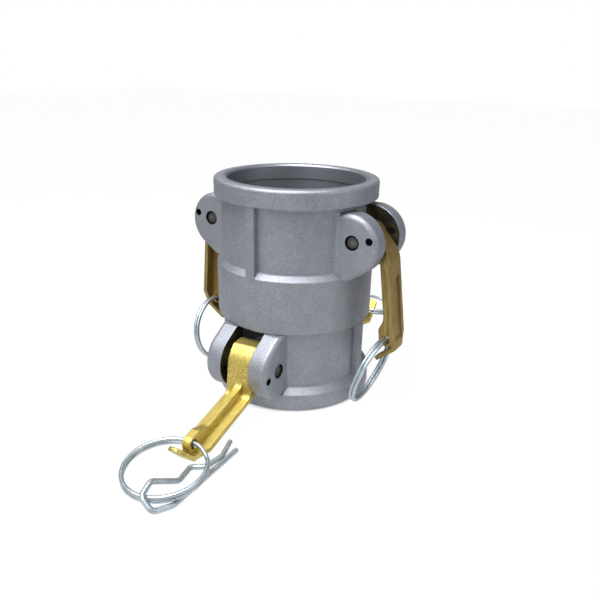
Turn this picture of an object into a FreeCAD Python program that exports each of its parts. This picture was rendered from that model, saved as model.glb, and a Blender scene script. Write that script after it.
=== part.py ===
import FreeCAD, Part
import math
import os

# Double cam and groove coupling for 2 inch pipe and hose: two sockets cast back to back, each with two arms.
# Z runs up the bore from the lower mouth. The upper arms lie on +X and -X, the lower ones on -Y and +Y.

V = FreeCAD.Vector
X_AXIS = V(1, 0, 0)
Y_AXIS = V(0, 1, 0)
Z_AXIS = V(0, 0, 1)

# Casting, in millimetres
body_length = 102.1
bore_radius = 32.0
mouth_land_length = 7.0
bore_relief = 0.45
rim_radius = 38.0
rim_height = 8.3
rim_edge = 1.6
mouth_edge = 0.8
flange_slope = 2.6
recess_radius = 34.6
band_radius = 37.1
band_bottom = 37.7
band_top = 62.5
shoulder_slope = 2.4
cast_edge = 0.6
cast_fillet = 1.0
rib_width = 4.7
socket_depth = 41.0

# Gaskets, the standard ring for this size
gasket_inner_radius = 25.4
gasket_outer_radius = 33.2
gasket_thickness = 6.35
gasket_edge = 0.8
gasket_clearance = 0.15

# Ears, in pairs either side of a slot through the wall
ear_gap_half = 7.45
ear_thickness = 8.75
ear_arc_radius = 13.7
ear_arc_out = 36.0
ear_arc_from_band = 15.7
ear_edge = 2.4
ear_gap_edge = 0.5
ear_root_fillet = 2.2
slot_lip = 0.9
slot_corner = 1.5

# Pivot pins, and the small holes for the safety clips
pin_radial = 37.9
pin_from_mouth = 22.3
pin_radius = 3.175
pin_chamfer = 0.7
pin_recess = 0.7
pin_hole_clearance = 0.08
pin_bore_clearance = 0.06
clip_hole_radius = 1.6
clip_hole_out = 7.9
clip_hole_toward_mouth = 1.75

# Cam arm, drawn closed with its pin at the origin: outwards is +X and the lever runs up +Z
hub_width = 11.8
hub_clearance = 0.25
head_radius = 5.5
lobe_reach = 9.9
lobe_height = 7.7
lobe_nose = 2.2
hub_round = 10.0
lever_width = 12.8
lever_offset = 12.1
lever_lean = 8.0
lever_end = 50.3
strip_thickness = 2.4
neck_slope = 47.0
neck_bend = 14.0
neck_length = 10.6
neck_corner = 3.0
panel_width = 7.2
panel_depth = 0.8
panel_start = 16.0
panel_end = 46.0
taper_start = 44.5
rib_depth = 6.5
arm_rib_width = 3.8
flare_start = 37.3
flare_rise = 4.6
ring_hole_radius = 2.1
ring_hole_depth = 6.2
ring_hole_along = 46.8
eye_wall = 1.1
tab_length = 13.6
tab_fold = 58.6
tab_thickness = 1.7
tab_root_width = 6.8
tab_tip_width = 6.2
tab_tip_curve = 0.9
tab_tip_roundness = 0.44
bend_radius = 2.4
arm_edge = 0.5

# Pull rings, each a split ring of two turns
ring_wire = 1.7
ring_outer_radius = 17.0
ring_pitch = 1.58

# Safety clip, one bent wire
clip_wire = 2.2

# How the pieces lie at rest
lower_arm_opening = 93.5
left_arm_lean = 3.5
right_ring_lean = 17.0
right_ring_roll = 20.0
left_ring_lean = 7.0
left_ring_roll = 20.0
lower_ring_dip = 5.5
floor_gap = 0.05
front_arm_skew = 5.4


def rounded_wire(points, closed=True):
    """A wire through points given as (position, corner radius), with a tangent arc at each rounded corner."""
    count = len(points)
    edges = []
    starts = []
    ends = []
    arcs = []
    for i, (here, radius) in enumerate(points):
        at_end = not closed and i in (0, count - 1)
        if radius == 0 or at_end:
            starts.append(here)
            ends.append(here)
            arcs.append(None)
            continue
        before = points[i - 1][0] - here
        after = points[(i + 1) % count][0] - here
        before.normalize()
        after.normalize()
        half = before.getAngle(after) / 2
        reach = radius / math.tan(half)
        inward = before + after
        inward.normalize()
        centre = here + inward * (radius / math.sin(half))
        starts.append(here + before * reach)
        ends.append(here + after * reach)
        arcs.append(Part.Arc(starts[i], centre - inward * radius, ends[i]).toShape())
    for i in range(count):
        if arcs[i] is not None:
            edges.append(arcs[i])
        last = not closed and i == count - 1
        following = starts[(i + 1) % count]
        if not last and (following - ends[i]).Length > 1e-6:
            edges.append(Part.LineSegment(ends[i], following).toShape())
    return Part.Wire(edges)


def outline(points):
    """A face in the XZ plane from (x, z, corner radius) points."""
    return Part.Face(rounded_wire([(V(x, 0, z), radius) for x, z, radius in points]))


def turned(points):
    """The outline turned round Z."""
    return outline(points).revolve(V(), Z_AXIS, 360)


def slab(points, low, high):
    """The outline extruded along Y between two values."""
    face = outline(points)
    face.translate(V(0, low, 0))
    return face.extrude(V(0, high - low, 0))


def cross_rod(radius, half_length, x, z):
    """A cylinder along Y, centred on the XZ plane."""
    return Part.makeCylinder(radius, 2 * half_length, V(x, -half_length, z), Y_AXIS)


def quarter_turn_twin(shape):
    """The same feature at the lower socket: upside down and a quarter turn round."""
    twin = shape.copy()
    twin.rotate(V(0, 0, body_length / 2), X_AXIS, 180)
    twin.rotate(V(), Z_AXIS, -90)
    return twin


def both_sides(shape):
    """The shape and its copy half a turn round the bore."""
    copy = shape.copy()
    copy.rotate(V(), Z_AXIS, 180)
    return [shape, copy]


def body_blank():
    """The outside of the casting, solid to the middle."""
    flange_top = rim_height
    rim_bottom = body_length - rim_height
    return turned([
        (0, 0, 0),
        (rim_radius, 0, rim_edge),
        (rim_radius, flange_top, cast_edge),
        (recess_radius, flange_top + flange_slope, cast_fillet),
        (recess_radius, band_bottom, cast_fillet),
        (band_radius, band_bottom, cast_edge),
        (band_radius, band_top, cast_edge),
        (recess_radius, band_top + shoulder_slope, cast_fillet),
        (recess_radius, rim_bottom, cast_fillet),
        (rim_radius, rim_bottom, cast_edge),
        (rim_radius, body_length, rim_edge),
        (0, body_length, 0),
    ])


def body_bore():
    """Everything inside: two sockets, their gasket grooves and the web between them."""
    groove_radius = gasket_outer_radius + gasket_clearance
    relieved = bore_radius + bore_relief
    seat = body_length - socket_depth - gasket_thickness
    groove_top = body_length - socket_depth + gasket_clearance
    land_end = body_length - mouth_land_length
    upper = [
        (groove_radius, seat, 0),
        (groove_radius, groove_top, 0),
        (relieved, groove_top, 0),
        (relieved, land_end - bore_relief, 0),
        (bore_radius, land_end, 0),
        (bore_radius, body_length - mouth_edge, 0),
        (bore_radius + mouth_edge, body_length, 0),
        (bore_radius + mouth_edge, body_length + 1, 0),
    ]
    lower = [(radius, body_length - height, corner) for radius, height, corner in reversed(upper)]
    web = [(gasket_inner_radius, body_length - seat, 0), (gasket_inner_radius, seat, 0)]
    axis = [(0, body_length + 1, 0), (0, -1, 0)]
    return turned(lower + web + upper + axis)


def ear_outline(pin_side_band):
    """One ear from the side, on the upper socket: a round head with a straight run in to the band's edge."""
    centre_x = ear_arc_out
    centre_z = pin_side_band + ear_arc_from_band
    to_corner_x = band_radius - centre_x
    to_corner_z = pin_side_band - centre_z
    distance = math.hypot(to_corner_x, to_corner_z)
    direction = math.atan2(to_corner_z, to_corner_x)
    touch = direction + math.acos(ear_arc_radius / distance)
    start = V(centre_x + ear_arc_radius * math.cos(touch), 0, centre_z + ear_arc_radius * math.sin(touch))
    middle_angle = (touch + math.pi / 2) / 2
    middle = V(centre_x + ear_arc_radius * math.cos(middle_angle), 0,
               centre_z + ear_arc_radius * math.sin(middle_angle))
    top = V(centre_x, 0, centre_z + ear_arc_radius)
    corner = V(band_radius, 0, pin_side_band)
    inside = gasket_inner_radius
    return Part.Face(Part.Wire([
        Part.LineSegment(V(inside, 0, pin_side_band), corner).toShape(),
        Part.LineSegment(corner, start).toShape(),
        Part.Arc(start, middle, top).toShape(),
        Part.LineSegment(top, V(inside, 0, top.z)).toShape(),
        Part.LineSegment(V(inside, 0, top.z), V(inside, 0, pin_side_band)).toShape(),
    ]))


def rounded_plate_edges(plate, face_y, radius):
    """Rounds the plate's edges on one face, apart from the ones inside the casting."""
    edges = []
    for edge in plate.Edges:
        box = edge.BoundBox
        on_face = abs(box.YMin - face_y) < 0.01 and abs(box.YMax - face_y) < 0.01
        if on_face and box.XMax > band_radius + 0.1:
            edges.append(edge)
    return plate.makeFillet(radius, edges)


def ear_root(face, height):
    """The fillet where an ear's outer face runs into the round wall."""
    outer = ear_gap_half + ear_thickness
    centre_y = outer + ear_root_fillet
    centre_x = math.sqrt((recess_radius + ear_root_fillet) ** 2 - centre_y ** 2)
    centre = V(centre_x, centre_y, 0)
    on_ear = V(centre_x, outer, 0)
    on_wall = centre * (recess_radius / centre.Length)
    inward = (on_ear + on_wall) * 0.5 - centre
    inward.normalize()
    middle = centre + inward * ear_root_fillet
    buried = V(on_wall.x - ear_root_fillet, outer - ear_root_fillet, 0)
    edges = [
        Part.Arc(on_ear, middle, on_wall).toShape(),
        Part.LineSegment(on_wall, buried).toShape(),
        Part.LineSegment(buried, on_ear).toShape(),
    ]
    prism = Part.Face(Part.Wire(edges)).extrude(V(0, 0, height))
    return prism.common(face)


def ear_pair(band_edge):
    """Both ears of one arm on +X, for the upper socket, with the band's edge at the given height."""
    outer = ear_gap_half + ear_thickness
    profile = ear_outline(band_edge)
    plate = profile.copy()
    plate.translate(V(0, ear_gap_half, 0))
    plate = plate.extrude(V(0, ear_thickness, 0))
    plate = rounded_plate_edges(plate, outer, ear_edge)
    plate = rounded_plate_edges(plate, ear_gap_half, ear_gap_edge)
    blank = profile.extrude(V(0, outer + ear_root_fillet, 0))
    ear = plate.fuse(ear_root(blank, body_length))
    return ear.fuse(ear.mirror(V(), Y_AXIS))


def slot_cut(low, high):
    """The opening through the wall between two ears, for the cam to reach the groove of the adapter."""
    width = ear_gap_half
    corners = [V(0, -width, low), V(0, width, low), V(0, width, high), V(0, -width, high)]
    face = Part.Face(rounded_wire([(corner, slot_corner) for corner in corners]))
    face.translate(V(gasket_inner_radius, 0, 0))
    return face.extrude(V(rim_radius, 0, 0))


def ear_holes():
    """The pin hole and the safety clip hole through one pair of ears."""
    pin_z = body_length - pin_from_mouth
    reach = ear_gap_half + ear_thickness + 1
    pin_hole = cross_rod(pin_radius + pin_hole_clearance, reach, pin_radial, pin_z)
    clip_hole = cross_rod(clip_hole_radius, reach, pin_radial + clip_hole_out, pin_z + clip_hole_toward_mouth)
    return pin_hole.fuse(clip_hole)


def wall_rib(low, high):
    """The flat rib along the recess, midway between two pairs of ears."""
    half = rib_width / 2
    rib = Part.makeBox(band_radius, rib_width, high - low, V(0, -half, low))
    limit = Part.makeCylinder(band_radius, high - low, V(0, 0, low))
    rib = rib.common(limit)
    rib.rotate(V(), Z_AXIS, 90)
    return rib


def coupling_body():
    """The one aluminium casting: sockets, band, rims, ears and ribs."""
    rim_bottom = body_length - rim_height
    lower_band_edge = body_length - band_bottom
    upper_parts = both_sides(ear_pair(band_top)) + both_sides(wall_rib(band_top, rim_bottom))
    lower_parts = both_sides(ear_pair(lower_band_edge)) + both_sides(wall_rib(lower_band_edge, rim_bottom))
    slope = shoulder_slope + slot_lip
    upper_cuts = both_sides(slot_cut(band_top + slope, rim_bottom - slot_lip)) + both_sides(ear_holes())
    lower_slot = slot_cut(lower_band_edge + slot_lip, rim_bottom - flange_slope - slot_lip)
    lower_cuts = both_sides(lower_slot) + both_sides(ear_holes())
    added = upper_parts + [quarter_turn_twin(shape) for shape in lower_parts]
    removed = upper_cuts + [quarter_turn_twin(shape) for shape in lower_cuts]
    body = body_blank().fuse(added).cut([body_bore()] + removed)
    return body.removeSplitter()


def gasket():
    """One rubber ring, lying in the upper socket's groove."""
    low = body_length - socket_depth - gasket_thickness
    high = low + gasket_thickness
    return turned([
        (gasket_inner_radius, low, gasket_edge),
        (gasket_outer_radius, low, gasket_edge),
        (gasket_outer_radius, high, gasket_edge),
        (gasket_inner_radius, high, gasket_edge),
    ])


def pivot_pin():
    """One steel pin along Y with chamfered ends, at the origin."""
    half = ear_gap_half + ear_thickness - pin_recess
    pin = cross_rod(pin_radius, half, 0, 0)
    rims = [edge for edge in pin.Edges if edge.BoundBox.YLength < 0.01]
    return pin.makeChamfer(pin_chamfer, rims)


def lever_point(along, depth):
    """A place on the lever: so far along its outer face from the pin's height and so deep below it."""
    lean = math.radians(lever_lean)
    x = lever_offset + along * math.sin(lean) - depth * math.cos(lean)
    z = along * math.cos(lean) + depth * math.sin(lean)
    return x, z


def lever_depth_at(x, z):
    """How deep a place lies below the lever's outer face."""
    lean = math.radians(lever_lean)
    return (lever_offset - x) * math.cos(lean) + z * math.sin(lean)


def tab_direction():
    """The unit vector along the finger tab, from the bend to its tip."""
    angle = math.radians(90 - lever_lean + tab_fold)
    return V(math.cos(angle), 0, math.sin(angle))


def tab_inward():
    """The unit vector square to the tab, towards the pin."""
    along = tab_direction()
    return V(-along.z, 0, along.x)


def inner_corner():
    """Where the lever's strip and the tab meet on the inner side."""
    lean = math.radians(lever_lean)
    outward = V(math.cos(lean), 0, -math.sin(lean))
    bend_x, bend_z = lever_point(lever_end, 0)
    start = V(bend_x, 0, bend_z) + tab_inward() * tab_thickness
    depth = (V(bend_x, 0, bend_z) - start).dot(outward)
    along = (strip_thickness - depth) / -tab_direction().dot(outward)
    return start + tab_direction() * along


def arm_side():
    """The arm's outline from the side without its rib, as (x, z, corner radius) points."""
    slope = math.radians(neck_slope)
    head_corner_x = head_radius * math.tan(slope / 2)
    lean = math.radians(90 - lever_lean)
    run = (lever_offset - head_corner_x - head_radius / math.tan(lean)) / (
        math.cos(slope) - math.sin(slope) / math.tan(lean))
    neck_x = head_corner_x + run * math.cos(slope)
    neck_z = -head_radius + run * math.sin(slope)
    bend_x, bend_z = lever_point(lever_end, 0)
    bend = V(bend_x, 0, bend_z)
    tip = bend + tab_direction() * tab_length
    inner_tip = tip + tab_inward() * tab_thickness
    corner = inner_corner()
    tab_end = tab_thickness * tab_tip_roundness
    return [
        (-lobe_reach, -head_radius + lobe_nose / 2, lobe_nose),
        (-lobe_reach + lobe_nose, -head_radius, lobe_nose / 2),
        (head_corner_x, -head_radius, head_radius),
        (neck_x, neck_z, neck_bend),
        (bend.x, bend.z, bend_radius),
        (tip.x, tip.z, tab_end),
        (inner_tip.x, inner_tip.z, tab_end),
        (corner.x, corner.z, bend_radius - arm_edge),
        lever_point(neck_length, strip_thickness) + (neck_corner,),
        (-head_radius, lobe_height, hub_round),
        (-lobe_reach, head_radius / 2, lobe_nose),
    ]


def arm_rib():
    """The rib down the lever's inner side, from the hub's face to the eye round the ring hole."""
    eye = ring_hole_radius + eye_wall
    hub_top = V(-head_radius, 0, lobe_height)
    neck_x, neck_z = lever_point(neck_length, strip_thickness)
    face = V(neck_x, 0, neck_z) - hub_top
    top_depth = lever_depth_at(-head_radius, lobe_height)
    share = (top_depth - rib_depth) / (top_depth - strip_thickness)
    start = hub_top + face * share
    face.normalize()
    above = start - face * 2 * neck_corner
    half = arm_rib_width / 2
    rib = slab([
        (0, 0, 0),
        (above.x, above.z, 0),
        (start.x, start.z, neck_corner),
        lever_point(flare_start, rib_depth) + (2 * neck_corner,),
        lever_point(flare_start + flare_rise, ring_hole_depth + eye) + (neck_corner,),
        lever_point(ring_hole_along + eye, ring_hole_depth + eye) + (eye,),
        lever_point(ring_hole_along + eye, strip_thickness / 2) + (0,),
        lever_point(neck_length, strip_thickness / 2) + (0,),
    ], -half, half)
    rims = [edge for edge in rib.Edges if edge.BoundBox.YLength < 0.01]
    return rib.makeFillet(arm_edge, rims)


def outer_panel():
    """The shallow recess that lightens the lever's outer face."""
    half = panel_width / 2
    ramp = 2 * panel_depth
    return slab([
        lever_point(panel_start - ramp, -panel_depth) + (0,),
        lever_point(panel_start + ramp, panel_depth) + (ramp,),
        lever_point(panel_end - ramp, panel_depth) + (ramp,),
        lever_point(panel_end + ramp, -panel_depth) + (0,),
    ], -half, half)


def plan_trim(stations, along_start, along_end):
    """What comes off both sides of a plate along +X, from (along, half width, corner) stations."""
    width = 2 * lever_width
    kept = [(V(along, half, 0), corner) for along, half, corner in stations]
    kept += [(V(along, -half, 0), corner) for along, half, corner in reversed(stations)]
    trim = Part.makeBox(along_end - along_start, 2 * width, 2 * width, V(along_start, -width, -width))
    inside = Part.Face(rounded_wire(kept))
    inside.translate(V(0, 0, -width))
    return trim.cut(inside.extrude(V(0, 0, 2 * width)))


def lever_trim():
    """What comes off beside the hub, and off the lever's end as it narrows to the tab."""
    wide = lever_width / 2
    narrow = hub_width / 2
    trim = plan_trim([
        (-2 * lobe_reach, narrow, 0),
        (head_radius, narrow, neck_corner),
        (neck_length, wide, neck_corner),
        (taper_start, wide, neck_corner),
        (lever_end, tab_root_width / 2, 0),
        (2 * lever_end, tab_root_width / 2, 0),
    ], -lobe_reach - 1, lever_end + tab_length)
    trim.rotate(V(), Y_AXIS, -(90 - lever_lean))
    return trim


def tab_trim():
    """What comes off the finger tab's sides, so that it narrows to a round tip."""
    tip_half = tab_tip_width / 2
    trim = plan_trim([
        (bend_radius, tab_root_width / 2, 0),
        (tab_length, tip_half, tip_half * tab_tip_curve),
    ], bend_radius, tab_length + hub_width)
    near = Part.makeBox(tab_length + hub_width, 2 * hub_width, 2 * head_radius, V(0, -hub_width, -head_radius))
    trim = trim.common(near)
    trim.rotate(V(), Y_AXIS, -(90 - lever_lean + tab_fold))
    bend_x, bend_z = lever_point(lever_end, 0)
    trim.translate(V(bend_x, 0, bend_z))
    return trim


def cam_arm(skew):
    """One brass arm: cam lobe and hub, flat lever with a rib inside it, and the bent tab for a finger.

    The lever may stand askew of the pin by a few degrees, as the casting and its play leave it.
    """
    half = lever_width / 2
    blank = slab(arm_side(), -half, half)
    rims = [edge for edge in blank.Edges if edge.BoundBox.YLength < 0.01]
    blank = blank.makeFillet(arm_edge, rims)
    lever = blank.cut([lever_trim(), tab_trim(), outer_panel()]).fuse(arm_rib())
    lever = lever.cut(cross_rod(ring_hole_radius, half, *lever_point(ring_hole_along, ring_hole_depth)))
    lever.rotate(V(), X_AXIS, -skew)
    hub = cross_rod(head_radius, ear_gap_half - hub_clearance, 0, 0)
    bore = cross_rod(pin_radius + pin_bore_clearance, 2 * half, 0, 0)
    return lever.fuse(hub).cut(bore)


def placed(shape, opening, upper, turn):
    """Takes a shape from the arm's own frame to its ears, opened outwards and turned round the bore."""
    moved = shape.copy()
    moved.rotate(V(), Y_AXIS, opening)
    moved.translate(V(pin_radial, 0, pin_from_mouth))
    if upper:
        moved.rotate(V(0, 0, body_length / 2), X_AXIS, 180)
    moved.rotate(V(), Z_AXIS, turn)
    return moved


def ring_hinge(opening, upper, turn, skew):
    """The middle of an arm's ring hole."""
    x, z = lever_point(ring_hole_along, ring_hole_depth)
    middle = Part.Vertex(V(x, 0, z))
    middle.rotate(V(), X_AXIS, -skew)
    return placed(middle, opening, upper, turn).Point


def ring_offset():
    """From the ring hole's middle to the ring's centre, so that the curved wire lies evenly in the hole."""
    middle = ring_outer_radius - ring_wire / 2
    return (middle + math.sqrt(middle ** 2 - (arm_rib_width / 2) ** 2)) / 2


def ring_placed(shape, hinge, turn, dip, roll):
    """Hangs a shape by the ring hole: rolled in the ring's plane, dipped outwards and turned to its arm."""
    hung = shape.copy()
    hung.rotate(V(), Z_AXIS, roll)
    hung.rotate(V(), Y_AXIS, dip)
    hung.rotate(V(), Z_AXIS, turn)
    hung.translate(hinge)
    return hung


def pull_ring():
    """A split ring of two turns, with its wire through the origin and its centre on +X."""
    middle = ring_outer_radius - ring_wire / 2
    low = Part.makeTorus(middle, ring_wire / 2, V(ring_offset(), 0, -ring_pitch / 2))
    high = Part.makeTorus(middle, ring_wire / 2, V(ring_offset(), 0, ring_pitch / 2))
    return low.fuse(high)


def safety_clip(centre):
    """The wire clip: a straight leg, a bend that hooks over the ring's wire, and a waved leg inside the ring.

    Each step of the route is how far right of the ring's centre, how far towards the body, the height,
    and the radius of the bend.
    """
    floor = clip_wire / 2 + floor_gap
    route = [
        (11.8, 28.8, floor, 0),
        (13.2, -10.0, floor, 5.0),
        (10.4, -17.6, 2.2, 2.6),
        (5.2, -17.4, 6.4, 2.6),
        (3.5, -10.8, 7.9, 2.6),
        (7.4, -0.6, 3.0, 5.0),
        (4.2, 9.3, 1.8, 2.4),
        (8.9, 13.2, 1.5, 2.4),
        (9.6, 22.2, 1.3, 4.0),
        (6.0, 32.0, floor, 0),
    ]
    points = [(V(centre.x + x, centre.y + y, z), radius) for x, y, z, radius in route]
    path = rounded_wire(points, closed=False)
    first = points[0][0]
    along = points[1][0] - first
    section = Part.Wire(Part.makeCircle(clip_wire / 2, first, along))
    return path.makePipeShell([section], True, False)


arms = [
    ("upper_right", 0, True, 0, 0),
    ("upper_left", 180, True, -left_arm_lean, 0),
    ("lower_front", -90, False, lower_arm_opening, front_arm_skew),
    ("lower_back", 90, False, lower_arm_opening, 0),
]
ring_hangs = {
    "upper_right": (90 + right_ring_lean, -right_ring_roll),
    "upper_left": (90 + left_ring_lean, left_ring_roll),
    "lower_front": (lower_ring_dip, 0),
    "lower_back": (lower_ring_dip, 0),
}

parts = {"coupling_body": coupling_body()}
parts["upper_gasket"] = gasket()
parts["lower_gasket"] = quarter_turn_twin(gasket())
for name, turn, upper, opening, skew in arms:
    parts[name + "_cam_arm"] = placed(cam_arm(skew), opening, upper, turn)
    parts[name + "_pivot_pin"] = placed(pivot_pin(), 0, upper, turn)
    hinge = ring_hinge(opening, upper, turn, skew)
    hang = (hinge, turn + skew) + ring_hangs[name]
    parts[name + "_pull_ring"] = ring_placed(pull_ring(), *hang)
    centre = ring_placed(Part.Vertex(V(ring_offset(), 0, 0)), *hang).Point
    print(name, "ring hinge", hinge, "centre", centre)
    if name == "lower_front":
        parts["safety_clip"] = safety_clip(centre)

os.makedirs("parts", exist_ok=True)
for name, shape in parts.items():
    solid = shape.Solids[0]
    solid.exportStep("parts/" + name + ".step")
    box = solid.BoundBox
    print(name, solid.isValid(), len(shape.Solids), round(solid.Volume), round(box.ZMin, 2), round(box.ZMax, 2))
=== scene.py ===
import bmesh
import bpy
import math
from mathutils import Matrix, Vector


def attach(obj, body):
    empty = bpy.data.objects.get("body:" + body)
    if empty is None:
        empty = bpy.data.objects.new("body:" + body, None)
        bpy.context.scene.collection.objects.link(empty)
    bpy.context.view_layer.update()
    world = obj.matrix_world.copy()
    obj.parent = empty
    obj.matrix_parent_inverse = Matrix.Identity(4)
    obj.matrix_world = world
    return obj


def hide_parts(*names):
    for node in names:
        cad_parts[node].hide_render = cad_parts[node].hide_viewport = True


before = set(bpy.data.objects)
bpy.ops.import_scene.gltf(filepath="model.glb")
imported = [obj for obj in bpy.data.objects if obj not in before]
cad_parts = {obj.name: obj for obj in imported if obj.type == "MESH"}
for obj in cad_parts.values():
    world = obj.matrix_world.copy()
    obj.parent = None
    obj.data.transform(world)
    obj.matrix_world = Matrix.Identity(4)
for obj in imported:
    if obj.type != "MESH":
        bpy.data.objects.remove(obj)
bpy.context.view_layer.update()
scene = bpy.context.scene
scene.view_settings.view_transform = "Standard"


# The camera stands where the photograph was taken from: in front and to the right, looking down a
# little, with a slight tilt to the right.
sensor_width = 36.0
photo_width_pixels = 600.0
focal_length_pixels = 597.0
camera_place = Vector((0.14605, -0.23423, 0.14816))
looked_at = Vector((0.00236, 0.00144, 0.04064))
tilt = math.radians(1.30)
camera_data = bpy.data.cameras.new("photo_camera")
camera_data.sensor_width = sensor_width
camera_data.lens = sensor_width * focal_length_pixels / photo_width_pixels
camera_data.clip_start = 0.01
camera = bpy.data.objects.new("photo_camera", camera_data)
scene.collection.objects.link(camera)
forward = (looked_at - camera_place).normalized()
right = forward.cross(Vector((0, 0, 1))).normalized()
up = right.cross(forward)
right, up = (right * math.cos(tilt) + up * math.sin(tilt),
             up * math.cos(tilt) - right * math.sin(tilt))
facing = Matrix((right, up, -forward)).transposed()
camera.matrix_world = Matrix.Translation(camera_place) @ facing.to_4x4()
scene.camera = camera


# The body is one sand-blasted aluminium casting: a fine even grit over faint cloudy mottling. The two
# sockets are turned inside, smoother than the outside, and the slots and drilled holes get painted shade.
body_length = 0.1021
turned_radius = 0.0341
slot_half_width = 0.00758
slot_wall = 0.0326
slot_start = 0.0087
slot_end = 0.0374
pin_out = 0.0379
pin_from_mouth = 0.0223
pin_hole_radius = 0.00332
clip_hole_out = 0.0458
clip_hole_from_mouth = 0.02055
clip_hole_radius = 0.00167


def new_material(name):
    material = bpy.data.materials.new(name)
    material.use_nodes = True
    nodes = material.node_tree.nodes
    shader = next(node for node in nodes if node.type == "BSDF_PRINCIPLED")
    return material, nodes, material.node_tree.links, shader


def ramp(nodes, links, source, stops):
    """A colour ramp over a value, from (place, colour) stops."""
    node = nodes.new("ShaderNodeValToRGB")
    elements = node.color_ramp.elements
    while len(elements) < len(stops):
        elements.new(0.5)
    for element, (place, colour) in zip(elements, stops):
        element.position = place
        element.color = (*colour, 1.0)
    links.new(source, node.inputs["Fac"])
    return node.outputs["Color"]


def grit_group():
    """Fine grit and broad mottling over a cast surface, as two masks."""
    group = bpy.data.node_groups.new("cast_grit", "ShaderNodeTree")
    face = group.interface
    face.new_socket("Vector", in_out="INPUT", socket_type="NodeSocketVector")
    face.new_socket("Grit Scale", in_out="INPUT", socket_type="NodeSocketFloat")
    face.new_socket("Cloud Scale", in_out="INPUT", socket_type="NodeSocketFloat")
    face.new_socket("Grit", in_out="OUTPUT", socket_type="NodeSocketFloat")
    face.new_socket("Cloud", in_out="OUTPUT", socket_type="NodeSocketFloat")
    nodes, links = group.nodes, group.links
    source = nodes.new("NodeGroupInput")
    result = nodes.new("NodeGroupOutput")
    fine = nodes.new("ShaderNodeTexNoise")
    fine.inputs["Detail"].default_value = 3.0
    fine.inputs["Roughness"].default_value = 0.65
    links.new(source.outputs["Vector"], fine.inputs["Vector"])
    links.new(source.outputs["Grit Scale"], fine.inputs["Scale"])
    broad = nodes.new("ShaderNodeTexNoise")
    broad.inputs["Detail"].default_value = 4.0
    broad.inputs["Roughness"].default_value = 0.6
    links.new(source.outputs["Vector"], broad.inputs["Vector"])
    links.new(source.outputs["Cloud Scale"], broad.inputs["Scale"])
    links.new(fine.outputs["Fac"], result.inputs["Grit"])
    links.new(broad.outputs["Fac"], result.inputs["Cloud"])
    return group


cast_grit = grit_group()


def add_grit(nodes, links, vector, grit_scale, cloud_scale):
    """Grit and mottling for one material, with its own scales per metre."""
    node = nodes.new("ShaderNodeGroup")
    node.node_tree = cast_grit
    node.inputs["Grit Scale"].default_value = grit_scale
    node.inputs["Cloud Scale"].default_value = cloud_scale
    links.new(vector, node.inputs["Vector"])
    return node.outputs["Grit"], node.outputs["Cloud"]


def mixed(nodes, links, factor, first, second, mode="MIX"):
    """Two colours, each a socket or a plain colour, mixed by a factor."""
    node = nodes.new("ShaderNodeMix")
    node.data_type = "RGBA"
    node.blend_type = mode
    for socket, value in (("Factor", factor), ("A", first), ("B", second)):
        kind = "Float" if socket == "Factor" else "Color"
        target = next(s for s in node.inputs if s.name == socket and s.identifier.endswith(kind))
        if hasattr(value, "links"):
            links.new(value, target)
        elif socket == "Factor":
            target.default_value = value
        else:
            target.default_value = (*value, 1.0)
    return next(s for s in node.outputs if s.identifier.endswith("Color"))


def maths(nodes, links, operation, first, second=None):
    """One sum on values, each a socket or a plain number."""
    node = nodes.new("ShaderNodeMath")
    node.operation = operation
    for socket, value in zip(node.inputs, (first, second)):
        if value is None:
            continue
        if hasattr(value, "links"):
            links.new(value, socket)
        else:
            socket.default_value = value
    return node.outputs["Value"]


def add_bump(nodes, links, shader, height, strength, distance):
    """A material's fine relief, from a height mask."""
    bump = nodes.new("ShaderNodeBump")
    bump.inputs["Strength"].default_value = strength
    bump.inputs["Distance"].default_value = distance
    links.new(height, bump.inputs["Height"])
    links.new(bump.outputs["Normal"], shader.inputs["Normal"])


def ear_place_group():
    """Where a point lies about its own pair of ears: outwards, aside, and in from the nearer mouth."""
    group = bpy.data.node_groups.new("ear_place", "ShaderNodeTree")
    face = group.interface
    face.new_socket("Vector", in_out="INPUT", socket_type="NodeSocketVector")
    for name in ("Outward", "Aside", "From Mouth"):
        face.new_socket(name, in_out="OUTPUT", socket_type="NodeSocketFloat")
    nodes, links = group.nodes, group.links
    source = nodes.new("NodeGroupInput")
    result = nodes.new("NodeGroupOutput")
    parts = nodes.new("ShaderNodeSeparateXYZ")
    links.new(source.outputs["Vector"], parts.inputs[0])
    along_x = maths(nodes, links, "ABSOLUTE", parts.outputs["X"])
    along_y = maths(nodes, links, "ABSOLUTE", parts.outputs["Y"])

    # The upper ears stand along X and the lower ones along Y
    upper = maths(nodes, links, "GREATER_THAN", parts.outputs["Z"], body_length / 2)
    change = maths(nodes, links, "MULTIPLY", maths(nodes, links, "SUBTRACT", along_x, along_y), upper)
    links.new(maths(nodes, links, "ADD", along_y, change), result.inputs["Outward"])
    links.new(maths(nodes, links, "SUBTRACT", along_x, change), result.inputs["Aside"])
    from_top = maths(nodes, links, "SUBTRACT", body_length, parts.outputs["Z"])
    links.new(maths(nodes, links, "MINIMUM", parts.outputs["Z"], from_top), result.inputs["From Mouth"])
    return group


ear_place = ear_place_group()


def near_axis(nodes, links, ears, outward, from_mouth):
    """How far a point is from a cross axis through the ears."""
    across = maths(nodes, links, "SUBTRACT", ears.outputs["Outward"], outward)
    along = maths(nodes, links, "SUBTRACT", ears.outputs["From Mouth"], from_mouth)
    squares = maths(nodes, links, "ADD", maths(nodes, links, "MULTIPLY", across, across),
                    maths(nodes, links, "MULTIPLY", along, along))
    return maths(nodes, links, "SQRT", squares)


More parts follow.
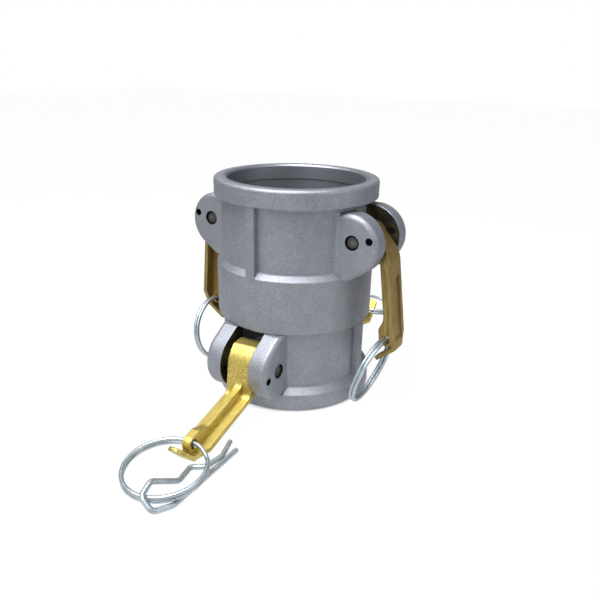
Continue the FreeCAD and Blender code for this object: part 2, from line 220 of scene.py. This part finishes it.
def cast_aluminium():
    material, nodes, links, shader = new_material("blasted_aluminium")
    place = nodes.new("ShaderNodeTexCoord").outputs["Object"]
    grit, cloud = add_grit(nodes, links, place, 2600.0, 160.0)
    speck = ramp(nodes, links, grit, [(0.30, (0.225, 0.238, 0.27)), (0.52, (0.31, 0.325, 0.36)),
                                      (0.74, (0.47, 0.49, 0.53))])
    patch = ramp(nodes, links, cloud, [(0.32, (0.86, 0.87, 0.90)), (0.68, (1.0, 1.0, 0.99))])
    outside = mixed(nodes, links, 1.0, speck, patch, "MULTIPLY")

    # Inside the sockets the wall was turned, so it is smoother and darker, with fine rings
    parts = nodes.new("ShaderNodeSeparateXYZ")
    links.new(place, parts.inputs[0])
    across = maths(nodes, links, "MULTIPLY", parts.outputs["X"], parts.outputs["X"])
    along = maths(nodes, links, "MULTIPLY", parts.outputs["Y"], parts.outputs["Y"])
    radius = maths(nodes, links, "SQRT", maths(nodes, links, "ADD", across, along))
    turned = maths(nodes, links, "LESS_THAN", radius, turned_radius)
    stretch = nodes.new("ShaderNodeMapping")
    stretch.inputs["Scale"].default_value = (60.0, 60.0, 4200.0)
    links.new(place, stretch.inputs["Vector"])
    rings = nodes.new("ShaderNodeTexNoise")
    rings.inputs["Scale"].default_value = 1.0
    rings.inputs["Detail"].default_value = 2.0
    links.new(stretch.outputs["Vector"], rings.inputs["Vector"])
    inside = ramp(nodes, links, rings.outputs["Fac"],
                  [(0.3, (0.235, 0.25, 0.285)), (0.7, (0.295, 0.31, 0.345))])
    colour = mixed(nodes, links, turned, outside, inside)

    # The slots between the ears and the drilled holes are painted near black, a painted shade
    ears = nodes.new("ShaderNodeGroup")
    ears.node_tree = ear_place
    links.new(place, ears.inputs["Vector"])
    slot = maths(nodes, links, "LESS_THAN", ears.outputs["Aside"], slot_half_width)
    slot_bounds = (("GREATER_THAN", "Outward", slot_wall), ("GREATER_THAN", "From Mouth", slot_start),
                   ("LESS_THAN", "From Mouth", slot_end))
    for operation, output, bound in slot_bounds:
        within = maths(nodes, links, operation, ears.outputs[output], bound)
        slot = maths(nodes, links, "MULTIPLY", slot, within)
    from_pin = near_axis(nodes, links, ears, pin_out, pin_from_mouth)
    pin_hole = maths(nodes, links, "LESS_THAN", from_pin, pin_hole_radius)
    from_clip_hole = near_axis(nodes, links, ears, clip_hole_out, clip_hole_from_mouth)
    clip_hole = maths(nodes, links, "LESS_THAN", from_clip_hole, clip_hole_radius)
    painted_shade_mask = maths(nodes, links, "MAXIMUM", slot, maths(nodes, links, "MAXIMUM", pin_hole, clip_hole))
    painted_slot_shade = ramp(nodes, links, cloud, [(0.35, (0.022, 0.021, 0.018)), (0.7, (0.075, 0.068, 0.052))])
    # Painted shade: slots, pin holes and clip holes are painted near black
    colour = mixed(nodes, links, painted_shade_mask, colour, painted_slot_shade)
    links.new(colour, shader.inputs["Base Color"])
    rough = ramp(nodes, links, grit, [(0.3, (0.62,) * 3), (0.7, (0.50,) * 3)])
    rough = mixed(nodes, links, turned, rough, (0.48, 0.48, 0.48))
    links.new(rough, shader.inputs["Roughness"])
    shader.inputs["Metallic"].default_value = 0.85
    height = maths(nodes, links, "MULTIPLY", grit, maths(nodes, links, "SUBTRACT", 1.0, turned))
    add_bump(nodes, links, shader, height, 0.35, 0.0002)
    return material


def dress(node, material):
    """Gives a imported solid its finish."""
    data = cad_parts[node].data
    data.materials.clear()
    data.materials.append(material)


dress("coupling_body", cast_aluminium())


# The two gaskets are moulded black rubber rings, lying in grooves at the bottom of the sockets.
def black_rubber():
    material, nodes, links, shader = new_material("black_rubber")
    place = nodes.new("ShaderNodeTexCoord").outputs["Object"]
    grit, cloud = add_grit(nodes, links, place, 1800.0, 90.0)
    colour = ramp(nodes, links, cloud, [(0.3, (0.012, 0.012, 0.014)), (0.7, (0.026, 0.026, 0.029))])
    links.new(colour, shader.inputs["Base Color"])
    rough = ramp(nodes, links, grit, [(0.3, (0.66,) * 3), (0.7, (0.5,) * 3)])
    links.new(rough, shader.inputs["Roughness"])
    add_bump(nodes, links, shader, grit, 0.2, 0.0002)
    return material


rubber = black_rubber()
dress("upper_gasket", rubber)
dress("lower_gasket", rubber)


# The pivot pins are plain steel rod, pressed through the ears and cut off just inside their faces.
# Each end shows a worn grey disc inside a painted dark rim, a painted shade round the edge of the end.
pin_disc_radius = 0.0021
pin_shade_rim_radius = 0.0027


def pin_steel():
    material, nodes, links, shader = new_material("pin_steel")
    place = nodes.new("ShaderNodeTexCoord").outputs["Object"]
    grit, cloud = add_grit(nodes, links, place, 1500.0, 420.0)
    colour = ramp(nodes, links, cloud, [(0.3, (0.085, 0.08, 0.08)), (0.55, (0.15, 0.145, 0.145)),
                                        (0.75, (0.26, 0.255, 0.255))])
    ears = nodes.new("ShaderNodeGroup")
    ears.node_tree = ear_place
    links.new(place, ears.inputs["Vector"])
    # Painted shade: a dark rim round each pin end
    rim_shade = ramp(nodes, links, near_axis(nodes, links, ears, pin_out, pin_from_mouth),
               [(0.0, (0.0,) * 3), (pin_disc_radius, (0.0,) * 3), (pin_shade_rim_radius, (1.0,) * 3)])
    colour = mixed(nodes, links, rim_shade, colour, (0.02, 0.018, 0.017))
    links.new(colour, shader.inputs["Base Color"])
    shader.inputs["Metallic"].default_value = 0.9
    rough = ramp(nodes, links, grit, [(0.3, (0.55,) * 3), (0.7, (0.38,) * 3)])
    links.new(rough, shader.inputs["Roughness"])
    add_bump(nodes, links, shader, grit, 0.3, 0.0001)
    return material


steel = pin_steel()
corners = ("upper_right", "upper_left", "lower_front", "lower_back")
for corner in corners:
    dress(corner + "_pivot_pin", steel)


# The cam arms are brass castings, tumbled bright, with long marks down the lever and a thin olive film
# over them. The hanging pair is a darker copy of the same brass with more of the film, as painted shade.
olive_film = (0.30, 0.235, 0.095)


def cast_brass(name, lengthwise, tones, dull):
    """Brass with marks drawn out one way, from dark, middle and bright tones, and so much of the film."""
    material, nodes, links, shader = new_material(name)
    place = nodes.new("ShaderNodeTexCoord").outputs["Object"]
    grit, cloud = add_grit(nodes, links, place, 1500.0, 130.0)
    stretch = nodes.new("ShaderNodeMapping")
    stretch.inputs["Scale"].default_value = lengthwise
    links.new(place, stretch.inputs["Vector"])
    marks = nodes.new("ShaderNodeTexNoise")
    marks.inputs["Scale"].default_value = 1.0
    marks.inputs["Detail"].default_value = 4.0
    marks.inputs["Roughness"].default_value = 0.6
    links.new(stretch.outputs["Vector"], marks.inputs["Vector"])
    bright = ramp(nodes, links, marks.outputs["Fac"], list(zip((0.28, 0.5, 0.72), tones)))
    film = ramp(nodes, links, cloud, [(0.35, (0.0,) * 3), (0.72, (dull,) * 3)])
    colour = mixed(nodes, links, film, bright, olive_film)
    links.new(colour, shader.inputs["Base Color"])
    shader.inputs["Metallic"].default_value = 1.0
    rough = ramp(nodes, links, marks.outputs["Fac"], [(0.3, (0.58,) * 3), (0.7, (0.42,) * 3)])
    links.new(rough, shader.inputs["Roughness"])
    relief = maths(nodes, links, "ADD", maths(nodes, links, "MULTIPLY", marks.outputs["Fac"], 0.7),
                   maths(nodes, links, "MULTIPLY", grit, 0.3))
    add_bump(nodes, links, shader, relief, 0.15, 0.0003)
    return material


# Painted shade: the hanging arms get darker tones and more film than the lying ones
shaded_hanging_brass = cast_brass("brass_hanging_arms", (900.0, 900.0, 60.0),
                           ((0.26, 0.175, 0.055), (0.38, 0.27, 0.095), (0.52, 0.39, 0.165)), 0.7)
lying_brass = cast_brass("brass_lying_arms", (900.0, 60.0, 900.0),
                         ((0.43, 0.33, 0.080), (0.60, 0.475, 0.135), (0.77, 0.655, 0.215)), 0.25)
for corner in corners:
    dress(corner + "_cam_arm", shaded_hanging_brass if corner.startswith("upper") else lying_brass)


# Each pull ring is a split ring: two turns of round zinc-plated wire lying on each other, with one
# short step between the turns and its two cut ends either side of that step.
ring_outer_radius = 0.017
ring_wire = 0.00085
ring_pitch = 0.00158
ring_middle = ring_outer_radius - ring_wire
wire_sides = 18
turn_steps = 84
rise_steps = 14
step_half = math.radians(16)
end_bevel = 0.00018


def zinc_wire():
    material, nodes, links, shader = new_material("zinc_plated_wire")
    place = nodes.new("ShaderNodeTexCoord").outputs["Object"]
    grit, cloud = add_grit(nodes, links, place, 2200.0, 300.0)
    colour = ramp(nodes, links, cloud, [(0.3, (0.38, 0.435, 0.475)), (0.6, (0.50, 0.56, 0.60)),
                                        (0.8, (0.60, 0.65, 0.68))])
    links.new(colour, shader.inputs["Base Color"])
    shader.inputs["Metallic"].default_value = 1.0
    rough = ramp(nodes, links, grit, [(0.3, (0.52,) * 3), (0.7, (0.40,) * 3)])
    links.new(rough, shader.inputs["Roughness"])
    add_bump(nodes, links, shader, cloud, 0.15, 0.0001)
    return material


zinc = zinc_wire()


def split_ring(corner, hinge, centre, hinge_line, cut):
    """Two turns of wire about the ring's centre; cut says how far round from the hinge its ends lie."""
    bm = bmesh.new()
    bmesh.ops.create_circle(bm, segments=wire_sides, radius=ring_wire)
    bmesh.ops.rotate(bm, verts=bm.verts, matrix=Matrix.Rotation(math.pi / 2, 3, "X"))
    bmesh.ops.translate(bm, verts=bm.verts, vec=(ring_middle, 0, -ring_pitch / 2))
    bmesh.ops.rotate(bm, verts=bm.verts, matrix=Matrix.Rotation(step_half * 1.25, 3, "Z"))
    last = bm.edges[:]
    flat = 2 * math.pi - 2.25 * step_half
    rises = [math.sin(math.pi * (n + 0.5) / rise_steps) for n in range(rise_steps)]
    legs = [(flat, turn_steps, 0.0)]
    legs += [(2 * step_half / rise_steps, 1, ring_pitch * rise / sum(rises)) for rise in rises]
    legs += [(flat, turn_steps, 0.0)]
    for angle, steps, rise in legs:
        made = bmesh.ops.spin(bm, geom=last, cent=(0, 0, 0), axis=(0, 0, 1), dvec=(0, 0, rise / steps),
                              angle=angle, steps=steps)
        last = [piece for piece in made["geom_last"] if isinstance(piece, bmesh.types.BMEdge)]
    bmesh.ops.remove_doubles(bm, verts=bm.verts, dist=1e-7)
    ends = bmesh.ops.holes_fill(bm, edges=[edge for edge in bm.edges if edge.is_boundary], sides=0)
    rims = {edge for face in ends["faces"] for edge in face.edges}
    bmesh.ops.bevel(bm, geom=list(rims), offset=end_bevel, offset_type="OFFSET", segments=2, profile=0.5,
                    affect="EDGES", material=-1)
    bmesh.ops.recalc_face_normals(bm, faces=bm.faces)
    bmesh.ops.rotate(bm, verts=bm.verts, matrix=Matrix.Rotation(math.radians(cut), 3, "Z"))
    towards = (hinge - centre).normalized()
    square = towards.cross(hinge_line).normalized()
    place = Matrix((towards, square.cross(towards), square)).transposed().to_4x4()
    bmesh.ops.transform(bm, verts=bm.verts, matrix=Matrix.Translation(centre) @ place)
    mesh = bpy.data.meshes.new(corner + "_split_ring")
    bm.to_mesh(mesh)
    bm.free()
    mesh.shade_smooth()
    ring = bpy.data.objects.new(corner + "_split_ring", mesh)
    scene.collection.objects.link(ring)
    mesh.materials.append(zinc)
    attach(ring, corner + "_ring")
    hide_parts(corner + "_pull_ring")


split_ring("upper_right", Vector((0.050374, 0, 0.032593)),
           Vector((0.045952, -0.005504, 0.01813)), Vector((0, 1, 0)), 20)
split_ring("upper_left", Vector((-0.047468, 0, 0.031919)),
           Vector((-0.045625, -0.005504, 0.016909)), Vector((0, 1, 0)), 150)
split_ring("lower_front", Vector((0.004443, -0.084049, 0.00698)),
           Vector((0.00595, -0.099997, 0.005438)), Vector((0.99556, 0.09411, 0)), 30)
split_ring("lower_back", Vector((0, 0.084258, 0.006968)),
           Vector((0, 0.100278, 0.005425)), Vector((1, 0, 0)), 200)


# The safety clip is one length of plated spring wire, bent cold.
dress("safety_clip", zinc)


# The coupling stands on a white sweep that glows white to the camera. In reflections it glows in front
# of the coupling and fades further off, and its colour is painted lighter there too, a painted pool of
# light. Under the casting it is painted dark, a painted shadow, with a painted contact shadow at the
# foot.
painted_shadow_radius = 0.0368
painted_shadow_edge_radius = 0.0376
contact_shadow_radius = 0.0372
contact_shadow_edge_radius = 0.0384
glow_middle = (0.06, -0.11, 0.0)
glow_near = 0.06
glow_far = 0.24


def white_floor():
    material, nodes, links, shader = new_material("white_sweep")
    place = nodes.new("ShaderNodeTexCoord").outputs["Object"]
    from_bore = nodes.new("ShaderNodeVectorMath")
    from_bore.operation = "LENGTH"
    links.new(place, from_bore.inputs[0])
    # Painted shadow: the floor is painted dark under the casting
    painted_shadow_under_body = ramp(nodes, links, from_bore.outputs["Value"],
                   [(0.0, (0.03,) * 3), (painted_shadow_radius, (0.03,) * 3), (painted_shadow_edge_radius, (0.9,) * 3)])
    shader.inputs["Roughness"].default_value = 0.6
    glow = nodes.new("ShaderNodeEmission")
    glow.inputs["Color"].default_value = (1.0, 1.0, 1.0, 1.0)
    glow.inputs["Strength"].default_value = 1.0
    path = nodes.new("ShaderNodeLightPath")
    from_front = nodes.new("ShaderNodeVectorMath")
    from_front.operation = "DISTANCE"
    links.new(place, from_front.inputs[0])
    from_front.inputs[1].default_value = glow_middle
    fade = ramp(nodes, links, from_front.outputs["Value"],
                [(glow_near, (1.0,) * 3), (glow_far, (0.30,) * 3)])
    # Painted light: the floor's colour to other rays is lighter near the glow's middle
    painted_light_pool = maths(nodes, links, "MAXIMUM", path.outputs["Is Camera Ray"], fade)
    links.new(mixed(nodes, links, 1.0, painted_shadow_under_body, painted_light_pool, "MULTIPLY"), shader.inputs["Base Color"])
    reflected = maths(nodes, links, "MULTIPLY", path.outputs["Is Glossy Ray"], fade)
    seen = maths(nodes, links, "MAXIMUM", path.outputs["Is Camera Ray"], reflected)
    # Painted contact shadow: no glow just round and under the foot
    glow_past_contact_shadow = ramp(nodes, links, from_bore.outputs["Value"],
                      [(contact_shadow_radius, (0.0,) * 3), (contact_shadow_edge_radius, (0.97,) * 3)])
    share = maths(nodes, links, "MULTIPLY", seen, glow_past_contact_shadow)
    blend = nodes.new("ShaderNodeMixShader")
    links.new(share, blend.inputs["Fac"])
    links.new(shader.outputs["BSDF"], blend.inputs[1])
    links.new(glow.outputs["Emission"], blend.inputs[2])
    output = next(node for node in nodes if node.type == "OUTPUT_MATERIAL")
    links.new(blend.outputs["Shader"], output.inputs["Surface"])
    return material


floor_half = 3.0
floor_height = -0.0001
bm = bmesh.new()
bmesh.ops.create_grid(bm, x_segments=1, y_segments=1, size=floor_half)
bmesh.ops.translate(bm, verts=bm.verts, vec=(0, 0, floor_height))
mesh = bpy.data.meshes.new("floor")
bm.to_mesh(mesh)
bm.free()
floor = bpy.data.objects.new("floor", mesh)
scene.collection.objects.link(floor)
mesh.materials.append(white_floor())


# The room is white to the camera, and a dim even grey to the metal that reflects it.
world = bpy.data.worlds.new("studio")
scene.world = world
world.use_nodes = True
nodes, links = world.node_tree.nodes, world.node_tree.links
background = next(node for node in nodes if node.type == "BACKGROUND")
background.inputs["Color"].default_value = (0.55, 0.56, 0.58, 1.0)
background.inputs["Strength"].default_value = 0.48
white = nodes.new("ShaderNodeBackground")
white.inputs["Color"].default_value = (1.0, 1.0, 1.0, 1.0)
path = nodes.new("ShaderNodeLightPath")
seen = maths(nodes, links, "MAXIMUM", path.outputs["Is Camera Ray"], path.outputs["Is Transmission Ray"])
blend = nodes.new("ShaderNodeMixShader")
links.new(seen, blend.inputs["Fac"])
links.new(background.outputs["Background"], blend.inputs[1])
links.new(white.outputs["Background"], blend.inputs[2])
output = next(node for node in nodes if node.type == "OUTPUT_WORLD")
links.new(blend.outputs["Shader"], output.inputs["Surface"])


# A large soft light hangs above and in front, with a weaker one in front and a weak one on the right.
light_target = Vector((0, 0, 0.05))


def soft_light(name, place, size, power):
    data = bpy.data.lights.new(name, "AREA")
    data.shape = "RECTANGLE"
    data.size, data.size_y = size
    data.energy = power
    light = bpy.data.objects.new(name, data)
    scene.collection.objects.link(light)
    light.location = place
    aim = light_target - Vector(place)
    light.rotation_euler = aim.to_track_quat("-Z", "Y").to_euler()


soft_light("top_light", (-0.06, -0.24, 0.78), (0.6, 0.6), 11.8)
soft_light("front_light", (-0.05, -0.8, 0.5), (0.5, 0.5), 2.2)
soft_light("right_light", (0.7, 0.05, 0.3), (0.3, 0.5), 1.0)
